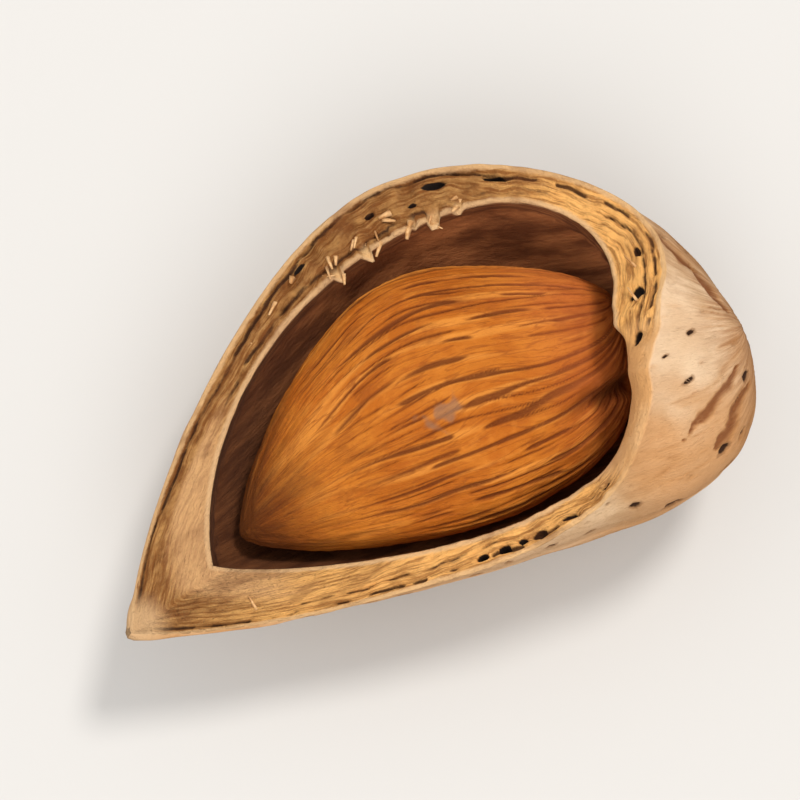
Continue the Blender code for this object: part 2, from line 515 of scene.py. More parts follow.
nearest = np.full(len(co), FAR_OFF)
pit_depth = np.zeros(len(co))
for here, towards, size, stretch, depth in pits:
    close = skin[np.max(np.abs(co[skin] - here), axis=1) < 4 * size * stretch]
    offset = co[close] - here
    lengthways = offset @ towards
    sideways = np.sqrt(np.maximum(np.sum(offset**2, axis=1) - lengthways**2, 0))
    ratio = np.hypot(lengthways / (size * stretch), sideways / size)
    ratio = ratio * (1 + 0.5 * bumps(co[close] / (0.35 * MM), 13))
    closer = ratio < nearest[close]
    nearest[close[closer]] = ratio[closer]
    pit_depth[close[closer]] = depth
pit = np.maximum(1 - nearest / 2, 0) * ease(0.1 * MM, 0.25 * MM, pit_depth)
print("vertices inside a pit:", (nearest < 1).sum())

# %% [markdown]
# ## The relief of the skin
# The skin swells gently and is ribbed along the grain. Furrows fan out from the stem
# scar, others run beside the seam, and a few streaks cross the hood. A displacement
# texture can't hold marks that have places of their own, so each is a number from 0 to 1,
# worked out at every vertex.

# %% Swell and ribs
on_skin = span < 0.999
on_rim = (span >= 0.999) & (span <= 2.001)
below_seam = (SEAM_LEVEL - co[:, 2]) / MM
upper_half = ease(-0.5, 0.5, -below_seam)

swell = 0.28 * bumps(co / (6 * MM)) + 0.1 * bumps(co / (2.2 * MM), 5)
ribs = 0.07 * bumps(grain / (7, 1.3, 1.3), 9) + 0.03 * bumps(grain / (3, 0.5, 0.5), 12)
tell("swell and ribs, mm,", swell + ribs)

# %% Furrows along the grain
over_seam = below_seam < 0
fan = lines(grain / (9, 1.0, 1.0), 0.2, 21) * ease(0.66, 0.85, share) * ease(1.0, 0.96, share)
fan *= ease(-0.15, 0.15, bumps(grain / (2.6, 1.5, 1.5), 33)) * np.where(over_seam, 0.35, 1)
hairs = lines(grain / (8, 0.9, 0.9), 0.2, 29) * ease(0.0, 0.25, bumps(grain / (4, 1.5, 1.5), 31))
hairs *= np.where(over_seam, 0.0, ease(1.0, 0.96, share))
print("vertices in a furrow and in a fine one:", (fan > 0.5).sum(), (hairs > 0.5).sum())

# %% Furrows beside the seam
straight_side = ease(2, -6, grain[:, 1])
drift = below_seam + 0.9 * bumps(ring / (5, 5, 9), 23)
keel = np.column_stack([ring[:, :2] / 9, drift / 1.3])
beside = lines(keel, 0.24, 25) * ease(-0.2, 0.1, bumps(ring / (2.5, 2.5, 9) + drift[:, None], 39))
beside *= ease(0.1, 0.5, below_seam) * ease(5.0, 2.0, below_seam) * (0.45 + 0.55 * straight_side)
print("vertices in a furrow beside the seam:", (beside > 0.5).sum())

# %% Streaks across the hood
HOOD_STREAKS = (
    ((16.9, -6.8), (13.7, -9.5), 0.36),
    ((16.5, -6.0), (13.2, -8.3), 0.34),
    ((15.2, -6.9), (12.2, -8.6), 0.26),
    ((15.2, 3.2), (17.0, -0.6), 0.36),
    ((16.8, 0.2), (17.4, -3.2), 0.28),
)  # where each starts and ends in plan, and its half width, in mm


def from_line(places, start, end, before=0.0):
    """How far along a line each place is, 0 to 1, and how far off it."""
    run = np.subtract(end, start)
    offset = places - start
    part_way = np.clip(offset @ run / (run @ run), -before, 1)
    return part_way, norm(offset - part_way[:, None] * run, axis=1)


wobble = 0.22 * np.column_stack([bumps(co / (1.3 * MM), shift) for shift in (35, 36)])
wobble += 0.08 * np.column_stack([bumps(co / (0.4 * MM), shift) for shift in (37, 38)])
for start, end, half_width in HOOD_STREAKS:
    part_way, off_line = from_line(co[:, :2] / MM + wobble, start, end)
    thin_ends = np.sqrt(np.maximum(1 - (2 * part_way - 1) ** 2, 0.02))
    beside = np.maximum(beside, near(off_line, 0, half_width * thin_ends) * upper_half)
print("with the hood's streaks:", (beside > 0.5).sum())

# %% The skin's relief in all, and the hood's pale spot with a painted highlight
PALE_HIGHLIGHT_AT = np.array((14.4 * MM, -3.6 * MM, CAD_HIGH.z))

furrow = np.where(on_skin, np.maximum(np.maximum(fan, 0.6 * hairs), beside), 0)
hollow = pit_depth / MM * np.maximum(1 - nearest**2, 0)
skin_relief = swell + ribs - 0.2 * furrow - hollow
# The hood's top is paler skin, and a painted highlight is laid over it where the light falls.
from_spot = norm(co - PALE_HIGHLIGHT_AT, axis=1) / MM + 2 * bumps(co / (2 * MM), 17)
bleached = ease(6.5, 2.0, from_spot)
tell("skin relief, mm,", skin_relief[on_skin])

# %% [markdown]
# ## The relief of the broken face
# The wall shows its layers where it broke: a pale lip, a channel of pores, a band of
# fibres and a thin inner edge. The curved side is torn and rough, the tip is a plain
# wedge, and the hood's lower edge is worn smooth. The larger pores have a table, and
# everything else is noise, drawn out along the rim.

# %% Open pores
OPEN_PORES = (
    (6, 0.55, 0.55, 0.42),
    (-9, 0.5, 0.55, 0.3),
    (17, 0.45, 0.35, 0.2),
    (61, 0.36, 0.75, 0.19),
    (77, 0.36, 0.8, 0.2),
    (84, 0.6, 0.3, 0.13),
    (96, 0.42, 0.35, 0.14),
    (120, 0.34, 0.5, 0.13),
    (-62, 0.4, 0.4, 0.14),
    (-78, 0.36, 0.45, 0.17),
    (-90, 0.38, 0.5, 0.2),
    (-96, 0.4, 0.3, 0.16),
    (-103, 0.38, 0.36, 0.2),
    (-111, 0.36, 0.4, 0.17),
)  # bearing in degrees, share of the way in, half length and half width in mm
pore = np.zeros(len(co))
for at, way_in, half_length, half_width in OPEN_PORES:
    round_rim = half_turn(lap - np.interp(math.radians(at), samples, lap_at)) * rim_radius
    over = (across - way_in) * wall_width
    pore = np.maximum(pore, 1 - np.hypot(round_rim / half_length, over / half_width) / 2)
pore = np.where(on_rim, pore, 0)
deep_pore = ease(0.4, 0.72, pore)
print("vertices in a pore:", (pore > 0.5).sum())

# %% The parts of the rim, each 0 to 1
rough = ease(50, 75, degrees) * ease(150, 125, degrees)
curved_side = ease(38, 70, degrees) + ease(-150, -168, degrees)
wedge = ease(0.3, 0.2, share) * ease(0.9, 1.4, inward) * ease(3.0, 1.6, ledge)
worn = low_hood * (span > 0.98)
smooth = np.maximum(wedge, worn)
tell("curved side", curved_side)

# %% Fibres and torn wood
warped = inward + 0.34 * bumps(ring / (3.2, 3.2, 6), 54) + 0.12 * bumps(ring / (0.9, 0.9, 4), 55)
fibre_place = np.column_stack([ring[:, :2], warped])
fibres = 0.13 * bumps(fibre_place / (3.5, 3.5, 0.2), 41)
chunks = (0.16 + 0.42 * rough) * bumps(ring / (1.0, 1.0, 0.6), 47)
shreds = 0.09 * (1 + rough) * bumps(ring / (0.5, 0.5, 0.25), 49)
tell("fibres and torn wood, mm,", fibres + chunks + shreds)

# %% Dark channels between the layers
CHANNEL_AT, SECOND_AT = 0.5, 1.12  # mm in from the outer edge
INNER_LINE_AT = 0.6  # mm from the inner edge

channel = near(warped, CHANNEL_AT, 0.18)
channel *= np.maximum(ease(-0.12, 0.1, bumps(ring / (1.3, 1.3, 3), 51)), 0.15 + 0.5 * curved_side)
second = near(warped, SECOND_AT, 0.17) * (1 - curved_side)
second *= ease(-0.2, 0.1, bumps(ring / (1.7, 1.7, 3), 59)) * ease(0.35, 0.6, ledge)
inner_line = near(ledge + 0.2 * bumps(ring / (2.4, 2.4, 6), 57), INNER_LINE_AT, 0.2)
inner_line *= curved_side * (0.35 + 0.65 * ease(-0.25, 0.0, bumps(ring / (1.8, 1.8, 3), 58)))
second = np.maximum(second, inner_line)
print("vertices in a channel:", (on_rim & (np.maximum(channel, second) > 0.5)).sum())

# %% The broken face's relief in all
lip = ease(0.34, 0.1, inward) + ease(0.34, 0.05, ledge)
band = ease(0.05, 0.4, inward) * ease(0.05, 0.4, ledge) * (1 - 0.85 * smooth)
rim_relief = (fibres + chunks + shreds) * band - 0.34 * channel * (1 - smooth)
rim_relief += 0.07 * lip - 0.22 * second * (1 - smooth) - 0.5 * deep_pore
tell("rim relief, mm,", rim_relief[on_rim])

# %% [markdown]
# ## The relief put on
# The lining has only faint veins. On the torn stretch of the rim, fibres of the inner
# edge stand out over the cavity like a fringe, so those vertices also move inwards. The
# point at the tip is a small pale nub. Every vertex then moves along its own normal.

# %% Veins, fringe and nub
TIP = np.array(plan((0.0, 0.0))) + (0.7 * MM, 0.3 * MM, SEAM_LEVEL)
FRINGE_LENGTH = 0.55  # mm

veins = 0.05 * bumps(grain / (4, 0.8, 0.8), 61) + 0.02 * bumps(co / (0.8 * MM), 63)
torn_part = ease(64, 76, degrees) * ease(124, 112, degrees)
teeth = ease(0.0, 0.22, bumps(np.column_stack([ring[:, :2] / 0.75, inward / 3]), 67))
fringe = FRINGE_LENGTH * teeth * torn_part * ease(0.9, 0.15, ledge) * ease(2.12, 2.0, span)
fringe *= ease(-0.2, 0.1, bumps(ring / 2.0, 69))
nub = ease(2.0, 0.5, norm(co - TIP, axis=1) / MM)
tell("fringe, mm,", fringe)

# %% Move the vertices
relief = np.where(on_skin, skin_relief, np.where(on_rim, rim_relief, veins))
relief = relief * (1 - 0.6 * nub) + 0.24 * nub
edge_fade = np.where(on_skin, 1 - 0.7 * ease(0.96, 1.0, span), 1)
inwards = -np.column_stack([np.cos(bearing), np.sin(bearing), 0.15 + 0 * bearing])
shown = co + normals * (relief * edge_fade * MM)[:, None] + inwards * (fringe * MM)[:, None]
shown[:, 2] = np.maximum(shown[:, 2], 0)
put(shell_mesh, shown)
print("shell, mm:", (shown.min(axis=0) / MM).round(2), (shown.max(axis=0) / MM).round(2))

# %% [markdown]
# The numbers go on the mesh as attributes, so that the material colours each pit, furrow
# and fibre where its relief is. A painted map would need the shell unwrapped.


# %% Keep the numbers that the material reads
def keep(mesh, **numbers):
    """Stores numbers or vectors, one for each vertex, as attributes."""
    for name, values in numbers.items():
        kind, field = ("FLOAT", "value") if values.ndim == 1 else ("FLOAT_VECTOR", "vector")
        layer = mesh.attributes.new(name, kind, "POINT")
        layer.data.foreach_set(field, values.astype(np.float32).ravel())


keep(shell_mesh, grain=grain, ring=ring, fibre=fibre_place, share=share, inward=inward, ledge=ledge)
keep(shell_mesh, pit=pit, pore=pore, furrow=furrow, fringe=fringe, nub=nub, bleached=bleached)
keep(shell_mesh, curved=curved_side, wedge=wedge, worn=worn, seam_gap=np.abs(below_seam))
# tan on the hood's lower side: partly the skin's own tan, partly painted shade where it faces down
keep(shell_mesh, tanned=low_hood * upper_half * (1 - bleached))
keep(shell_mesh, channel=np.maximum(channel, 0.8 * second) * on_rim * (1 - smooth))
print("attributes:", *shell_mesh.attributes.keys())


# %% Make it an object
def link(obj):
    bpy.context.scene.collection.objects.link(obj)


def add(name, mesh, material_slot, *stands_for):
    """Makes a mesh a piece that rides on the nut's one body."""
    mesh.shade_smooth()
    piece = bpy.data.objects.new(name, mesh)
    link(piece)
    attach(piece, "root")
    if stands_for:
        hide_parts(*stands_for)
    return piece


shell = add("cracked_shell", shell_mesh, "shell_wood", "shell")
print("added", shell.name)

# %% [markdown]
# ## The kernel
# The kernel is a flattened teardrop in a thin papery skin. The skin dried and shrank, so
# it lies in long folds from the broad end to the tip. A closed box blown up to the form
# gives an even mesh without poles. The folds are spaced evenly and then swayed by the
# stretched noise, so that they run together and part as real ones do.

# %% The kernel's mesh
KERNEL_CELLS = 128

kernel_bm = bmesh.new()
bmesh.ops.create_cube(kernel_bm, size=2)
bmesh.ops.subdivide_edges(kernel_bm, edges=kernel_bm.edges, cuts=KERNEL_CELLS - 1, use_grid_fill=True)
bmesh.ops.recalc_face_normals(kernel_bm, faces=kernel_bm.faces)
kernel_mesh = as_mesh(kernel_bm, "wrinkled_kernel")
kernel_co = seed.points(*cell_angles(get(kernel_mesh), seed.tip_bearing))
put(kernel_mesh, kernel_co)
kernel_normals = get(kernel_mesh, "normal")
print("the kernel has", len(kernel_mesh.polygons), "faces")

# %% Places on the kernel
kernel_grain = grain_of(kernel_co - (0, 0, kernel_level - SEAM_LEVEL), KERNEL_OUTLINE)
kernel_share = (kernel_co[:, 0] - kernel_low.x) / (kernel_high.x - kernel_low.x)
flow = kernel_grain + 0.5 * np.column_stack([bumps(kernel_co / (4 * MM), s) for s in (71, 72, 73)])
towards_end = ease(0.1, 0.5, kernel_share)
upper = kernel_co[:, 2] > kernel_level
angle = np.arctan2(kernel_grain[:, 2], kernel_grain[:, 1])
half_way = np.abs(angle) / np.pi
round_share = np.sign(angle) * (0.45 * half_way + 0.55 * (1 - np.cos(angle)) / 2)
tell("the way round the kernel", round_share)


# %% Folds
def folds(count, sway, width, shift):
    """1 along the bottoms of folds that run from end to end, and the turns they lie at."""
    turns = count * round_share + sway * bumps(flow / (8, 2.6, 2.6), shift)
    thick = width * (1 + 0.6 * bumps(flow / (2.5, 1, 1), shift + 1))
    whole = ease(-0.22, 0.04, bumps(flow / (4.2, 0.9, 0.9), shift + 2))
    return near(turns % 1, 0.5, thick) * whole, turns


deep_folds, turns = folds(15, 0.8, 0.2, 75)
thin_folds, _ = folds(25, 1.2, 0.21, 95)
wrinkle = np.maximum(deep_folds, 0.7 * thin_folds) * (0.2 + 0.8 * towards_end)
wave = -np.cos(2 * np.pi * turns) * 0.5 * towards_end + 0.8 * bumps(flow / (6, 1.5, 1.5), 83)
tell("folds", wrinkle)

# %% A crease at the broad end, and a scuff
CREASE_FROM = np.array(plan((0.80, 0.052)))[:2]
CREASE_TO = np.array(plan((0.675, 0.038)))[:2]
SCUFF = np.array(plan((0.545, 0.108)))[:2]
SCUFF_STRETCH = (1.2, 0.8)

part_way, off_line = from_line(kernel_co[:, :2], CREASE_FROM, CREASE_TO, before=0.4)
off_line = off_line / MM + 0.3 * bumps(kernel_co / (1.2 * MM), 84)
crease = ease(0.8, 0.0, off_line) * ease(1.05, 0.2, part_way) * upper
scuff_gap = norm((kernel_co[:, :2] - SCUFF) / SCUFF_STRETCH, axis=1) / MM
scuff = ease(0.9, 0.2, scuff_gap + 1.1 * bumps(kernel_co / (0.5 * MM), 85)) * upper
print("vertices in the crease and the scuff:", (crease > 0.5).sum(), (scuff > 0.5).sum())

# %% Put the kernel's relief on
lumps = 0.14 * bumps(kernel_co / (3 * MM), 87) + 0.03 * bumps(kernel_co / (0.45 * MM), 89)
kernel_relief = lumps + 0.07 * wave - 0.2 * wrinkle - 0.6 * crease - 0.05 * scuff
kernel_shown = kernel_co + kernel_normals * (kernel_relief * MM)[:, None]
put(kernel_mesh, kernel_shown)
keep(kernel_mesh, grain=flow, share=kernel_share, wrinkle=wrinkle, wave=wave)
keep(kernel_mesh, crease=crease, scuff=scuff)
kernel = add("wrinkled_kernel", kernel_mesh, "kernel_skin", "kernel")
tell("kernel relief, mm,", kernel_relief)

# %% [markdown]
# ## Splinters on the rim
# Where the woody wall tore, thin slivers of it stand off the broken face, mostly along
# the curved side. Each narrows to a blunt torn end. They are one piece of their own,
# because they are far too thin for the shell's mesh. Every fourth one is a stray, which
# lies along the rim somewhere else.

# %% One splinter
SPLINTER_LENGTH = (0.3 * MM, 0.9 * MM)
SPLINTER_WIDTH = (0.06 * MM, 0.16 * MM)
TORN_END = 0.45  # the end's width as a share of the foot's
WIDEN, FLATTEN = 1.3, 0.6


def splinter(bm, foot, direction, side, length, thick):
    """A flat four-sided sliver that narrows from its foot."""
    made = bmesh.ops.create_cone(
        bm, cap_ends=True, segments=4, radius1=thick, radius2=thick * TORN_END, depth=length
    )
    turn = Matrix((side, direction.cross(side).normalized(), direction)).transposed()
    for v in made["verts"]:
        v.co = foot + turn @ Vector((v.co.x * WIDEN, v.co.y * FLATTEN, v.co.z + length / 2))


tell("splinters' length, mm,", np.array(SPLINTER_LENGTH) / MM)

# %% Grow them on the rim
SPLINTERS = 26
SUNK = 0.02 * MM  # how deep a foot sits in the rim

random.seed(5)
splinter_bm = bmesh.new()
shown_normals = get(shell_mesh, "normal")
torn_zone = np.flatnonzero((span > 1.5) & (span < 1.97) & (degrees > 70) & (degrees < 118))
plain_rim = (np.abs(degrees) < 160) & (worn < 0.05) & (wedge < 0.05)
elsewhere = np.flatnonzero((span > 1.25) & (span < 1.75) & plain_rim)
for number in range(SPLINTERS):
    stray = number % 4 == 0
    index = random.choice((elsewhere if stray else torn_zone).tolist())
    to_heart = Vector((-math.cos(bearing[index]), -math.sin(bearing[index]), 0))
    tangent = Vector((-math.sin(bearing[index]), math.cos(bearing[index]), 0))
    tangent *= random.choice((-1, 1))
    lift = Vector(shown_normals[index])
    direction = tangent * random.uniform(0.1, 1.1) + lift * random.uniform(0.0, 0.3)
    direction += to_heart * random.uniform(0.4, 1.1) * (0.1 if stray else 1)
    direction.normalize()
    side = direction.cross(lift).normalized()
    foot = Vector(shown[index]) - lift * SUNK
    length = random.uniform(*SPLINTER_LENGTH)
    splinter(splinter_bm, foot, direction, side, length, random.uniform(*SPLINTER_WIDTH))
bmesh.ops.recalc_face_normals(splinter_bm, faces=splinter_bm.faces)
splinter_mesh = as_mesh(splinter_bm, "rim_splinters")
splinters = add("rim_splinters", splinter_mesh, "shell_wood")
print("splinters have", len(splinter_mesh.polygons), "faces")

# %% [markdown]
# ## Shader maths as Python
# A material is a graph of nodes, and wiring sums by hand hides what they say. This small
# class wraps a socket, so that an expression such as 1 - mask adds its Math node. All
# other nodes come from one method, which sets a node up and then fills its sockets.


# %% The socket class
class Socket:
    """A node's output, which adds up and multiplies like a number."""

    def __init__(self, tree, socket):
        self.tree, self.socket = tree, socket

    def node(self, kind, settings, sockets, out=0):
        """Adds a node of a kind. Its sockets are given by name or by number."""
        made = self.tree.nodes.new(kind)
        for name, value in settings.items():
            setattr(made, name, value)
        for key, value in sockets.items():
            if isinstance(value, Socket):
                self.tree.links.new(value.socket, made.inputs[key])
            else:
                made.inputs[key].default_value = value
        return Socket(self.tree, made.outputs[out])

    def maths(self, operation, *values):
        return self.node("ShaderNodeMath", {"operation": operation}, dict(enumerate(values)))

    def __add__(self, other):
        return self.maths("ADD", self, other)

    def __sub__(self, other):
        return self.maths("SUBTRACT", self, other)

    def __rsub__(self, other):
        return self.maths("SUBTRACT", other, self)

    def __mul__(self, other):
        return self.maths("MULTIPLY", self, other)

    def __abs__(self):
        return self.maths("ABSOLUTE", self)

    __radd__, __rmul__ = __add__, __mul__

    def step(self, low, high):
        """0 at low and 1 at high, with a smooth step between, also where low > high."""
        if low > high:
            return 1 - self.step(high, low)
        sockets = {"Value": self, "From Min": low, "From Max": high}
        return self.node("ShaderNodeMapRange", {"interpolation_type": "SMOOTHSTEP"}, sockets)


def tone(red, green, blue):
    """A colour given as it looks on a screen, 0 to 255, as the shader's linear numbers."""
    linear = []
    for value in (red / 255, green / 255, blue / 255):
        linear.append(value / 12.92 if value <= 0.04045 else ((value + 0.055) / 1.055) ** 2.4)
    return (*linear, 1.0)


print("a warm tan is", [round(v, 3) for v in tone(214, 170, 122)])


# %% A finish, and what it can read
class Finish:
    """A material, and the nodes that it is made from."""

    def __init__(self, name, roughness, gloss=0.5):
        self.material = bpy.data.materials.new(name)
        self.material.use_nodes = True
        tree = self.material.node_tree
        self.shader = tree.nodes["Principled BSDF"]
        self.shader.inputs["Roughness"].default_value = roughness
        self.shader.inputs["Specular IOR Level"].default_value = gloss
        self.start = Socket(tree, None)

    def read(self, name):
        """A number kept on the mesh."""
        return self.start.node("ShaderNodeAttribute", {"attribute_name": name}, {}, "Fac")

    def scaled(self, place, scale):
        return self.start.node("ShaderNodeVectorMath", {"operation": "MULTIPLY"}, {0: place, 1: scale})

    def place(self, name, scale):
        """A place kept on the mesh, times a scale along each of its axes."""
        place = self.start.node("ShaderNodeAttribute", {"attribute_name": name}, {}, "Vector")
        return self.scaled(place, scale)

    def object_place(self, per_mm):
        """The place on the object, in millimetres times a scale."""
        place = self.start.node("ShaderNodeTexCoord", {}, {}, "Object")
        return self.scaled(place, (per_mm / MM,) * 3)

    def noise(self, place, detail=4.0, rough=0.6):
        """Noise of 0 to 1 with a mean of a half."""
        sockets = {"Vector": place, "Scale": 1.0, "Detail": detail, "Roughness": rough}
        return self.start.node("ShaderNodeTexNoise", {}, sockets, "Fac")

    def mix(self, share, first, second):
        """From the first colour, where the share is 0, to the second, where it is 1."""
        sockets = {0: share, 6: first, 7: second}
        return self.start.node("ShaderNodeMix", {"data_type": "RGBA"}, sockets, 2)

    def layers(self, ground, *coats):
        """Lays coats over a ground one by one. Each is its share, 0 to 1, and its colour."""
        for share, colour in coats:
            ground = self.mix(share, ground, colour)
        return ground

    def nodes(self):
        return len(self.material.node_tree.nodes)

    def feed(self, name, value):
        self.start.tree.links.new(value.socket, self.shader.inputs[name])

    def bump(self, height, depth, before=None):
        """Tilts the surface as if height, 0 to 1, stood up by a depth in millimetres."""
        sockets = {"Strength": 1.0, "Distance": depth * MM, "Height": height}
        if before:
            sockets["Normal"] = before
        return self.start.node("ShaderNodeBump", {}, sockets)


print("a finish can", *(name for name in vars(Finish) if name[0] != "_"))

# %% [markdown]
# ## The shell's finish
# The skin is a matt cream tan, browner along the seam and round the stem, with dark pits
# and reddish brown furrows. The broken face is golden between pale edges, and the lining
# is dark brown. One material covers all three, because the span tells it where it is.
# Each colour is a ground with coats laid over it in order.

# %% Shell: what the skin's colour follows
wood = Finish("shell_wood_finish", 0.82, gloss=0.25)
span_here, far_along = wood.read("span"), wood.read("share")
grooves = wood.read("furrow")
blotches = wood.noise(wood.object_place(0.22), 3)
streaks = wood.noise(wood.place("grain", (0.5, 2.6, 2.6)), 6, 0.7)
specks = wood.noise(wood.object_place(3.2), 3)
fine_grain = wood.noise(wood.place("grain", (2.0, 9.0, 9.0)), 5, 0.7)
# pale skin with a painted highlight, over the top of the hood
pale_and_highlight_spot = wood.read("bleached") * (0.75 + 0.9 * (blotches - 0.5) + 0.5 * (streaks - 0.5))
stem_tan = far_along.step(0.88, 1.0) * streaks.step(0.36, 0.62) * 0.75
dark_grooves = (grooves + 0.8 * (streaks - 0.5)).step(0.15, 0.85)
pit_edge = wood.read("pit") + 0.16 * (specks - 0.5)
print("nodes so far:", wood.nodes())

# %% Shell: the skin's colour
skin_colour = wood.layers(
    wood.mix(blotches.step(0.36, 0.66), tone(206, 160, 112), tone(236, 200, 158)),
    (streaks.step(0.45, 0.82) * 0.5, tone(178, 128, 82)),
    (specks.step(0.56, 0.75) * 0.3, tone(166, 118, 74)),
    (fine_grain.step(0.5, 0.72) * 0.4, tone(160, 112, 68)),
    # pale skin and painted highlight on the hood's top
    (pale_and_highlight_spot * 0.75, tone(248, 216, 180)),
    # the hood's lower side: own tan with painted shade
    (wood.read("tanned") * (0.4 + 0.5 * blotches), tone(214, 150, 90)),
    (wood.read("seam_gap").step(3.4, 0.2) * (0.3 + 0.5 * streaks), tone(184, 130, 78)),
    (stem_tan, tone(168, 110, 60)),
    (grooves.step(0.0, 0.4) * 0.45, tone(198, 136, 74)),
    (dark_grooves * 0.85, tone(130, 70, 30)),
    # pits: the brown rings and dark centres are painted shade in the hollows; the same coats give the
    # hood's marks their own dark colour
    (pit_edge.step(0.28, 0.5) * 0.55, tone(146, 98, 58)),
    (pit_edge.step(0.5, 0.66), tone(62, 36, 18)),
)
print("nodes so far:", wood.nodes())

# %% Shell: what the broken face's colour follows
threads = wood.noise(wood.place("fibre", (0.4, 0.4, 5.5)), 5, 0.65)
knots = wood.noise(wood.place("fibre", (1.1, 1.1, 2.2)), 4)
cells = wood.noise(wood.place("ring", (2.6, 2.6, 5.0)), 4, 0.7)
stain = wood.noise(wood.place("ring", (0.28, 0.28, 0.5)), 4, 0.6)
curved, worn_here = wood.read("curved"), wood.read("worn")
heartwood = wood.read("wedge") * (0.7 + 0.3 * threads)
off_heartwood = 1 - 0.8 * heartwood
# painted shade on the broken face's curved side and painted light on its straight side
shaded_side = curved * (0.65 + 1.5 * (knots - 0.5)) * off_heartwood
lit_side = (1 - curved) * (0.25 + 0.5 * threads.step(0.4, 0.62))
channel_dark = (wood.read("channel") + 0.7 * (cells - 0.5) + 0.5 * (threads - 0.5)).step(0.16, 0.7)
outer_lip = (wood.read("inward") + 0.25 * (cells - 0.5)).step(0.34, 0.18)
inner_lip = (wood.read("ledge") + 0.25 * (cells - 0.5)).step(0.34, 0.12)
# near black painted shade inside the open pores
pore_shade = (wood.read("pore") + 0.12 * (cells - 0.5)).step(0.47, 0.56)
worn_tan = wood.mix(blotches.step(0.4, 0.64), tone(212, 156, 98), tone(234, 188, 136))
print("nodes so far:", wood.nodes())

# %% Shell: the broken face's colour
face_colour = wood.layers(
    wood.mix(threads.step(0.38, 0.58), tone(136, 82, 34), tone(220, 166, 98)),
    (knots.step(0.52, 0.72) * 0.5, tone(124, 70, 28)),
    (cells.step(0.54, 0.7) * 0.45, tone(226, 178, 120)),
    (heartwood * 0.85, tone(224, 174, 122)),
    # painted shade on the curved side, then painted light on the straight side
    (shaded_side, tone(122, 72, 28)),
    (lit_side, tone(252, 186, 104)),
    (channel_dark * off_heartwood * 0.92, tone(60, 30, 10)),
    (outer_lip * (0.85 - 0.1 * curved), tone(224, 180, 128)),
    (wood.read("fringe").step(0.05, 0.4) * 0.8, tone(232, 188, 132)),
    (inner_lip * (0.8 - 0.1 * curved), tone(222, 180, 132)),
    (worn_here * 0.95, worn_tan),
    # painted shade in the pores
    (pore_shade, tone(26, 13, 6)),
    (stain.step(0.5, 0.68) * (1 - worn_here) * 0.45, tone(118, 66, 28)),
)
print("nodes so far:", wood.nodes())

# %% Shell: the lining, and all three together
deep = wood.noise(wood.place("grain", (0.25, 1.4, 1.4)), 4)
lining_colour = wood.layers(
    wood.mix(deep.step(0.35, 0.7), tone(112, 60, 28), tone(190, 118, 68)),
    # painted shade: the lining darkens towards the tip, where the cavity lies in deep shadow
    (far_along.step(0.6, 0.25) * 0.7, tone(66, 34, 15)),
)
over_edge, down_inside = span_here.step(0.992, 1.003), span_here.step(2.0, 2.06)
shell_colour = wood.layers(
    skin_colour,
    (over_edge, face_colour),
    (down_inside, lining_colour),
    (wood.read("nub") * 0.75, tone(214, 174, 128)),
)
wood.feed("Base Color", shell_colour)
wood.feed("Roughness", 0.86 - 0.2 * down_inside + 0.1 * (streaks - 0.5))
on_face = over_edge * (1 - down_inside)
tilted = wood.bump(fine_grain * (1 - on_face) + cells * on_face, 0.22)
wood.feed("Normal", wood.bump(threads * on_face + specks * 0.4, 0.1, tilted))
shell.data.materials.append(wood.material)
print("shell nodes:", wood.nodes())

# %% [markdown]
# The splinters are the same wood, freshly torn, so they are paler. They are too small to
# need more than a speckled grain.

# %% Splinters' finish
torn_wood = Finish("torn_wood_finish", 0.75)
torn_grain = torn_wood.noise(torn_wood.object_place(2.0), 3)
torn_colour = torn_wood.mix(torn_grain.step(0.35, 0.65), tone(186, 132, 76), tone(230, 184, 128))
torn_wood.feed("Base Color", torn_colour)
splinters.data.materials.append(torn_wood.material)
print("splinter nodes:", torn_wood.nodes())

# %% [markdown]
# ## The kernel's finish
# The skin is orange brown and matt, like suede with a little shine on its ridges. The
# bottoms of the wrinkles are dark red brown, partly painted shade, and their backs are
# lighter with a painted highlight. Hairlines too fine for the mesh run between them. Powdery
# scales catch the light, the tip is darker, partly with painted shade, a painted shade lies
# in the crease at the broad end, and a scuff in the middle has gone grey.

# %% Kernel: what its colour follows
suede = Finish("kernel_skin_finish", 0.6, gloss=0.14)
wrinkles, along_kernel = suede.read("wrinkle"), suede.read("share")
veining = suede.noise(suede.place("grain", (0.45, 3.4, 3.4)), 6, 0.65)
cloud = suede.noise(suede.object_place(0.3), 3)
powder = suede.noise(suede.object_place(6.0), 4, 0.7)
thin_lines = suede.noise(suede.place("grain", (0.22, 2.2, 2.2)), 3, 0.5)
mottle = suede.noise(suede.place("grain", (0.35, 0.6, 0.6)), 4, 0.6)
# the tip is darker: partly its own brown, partly painted shade where it turns away from the light
dark_tip = (along_kernel + 0.3 * (mottle - 0.5)).step(0.26, 0.04)
print("nodes so far:", suede.nodes())

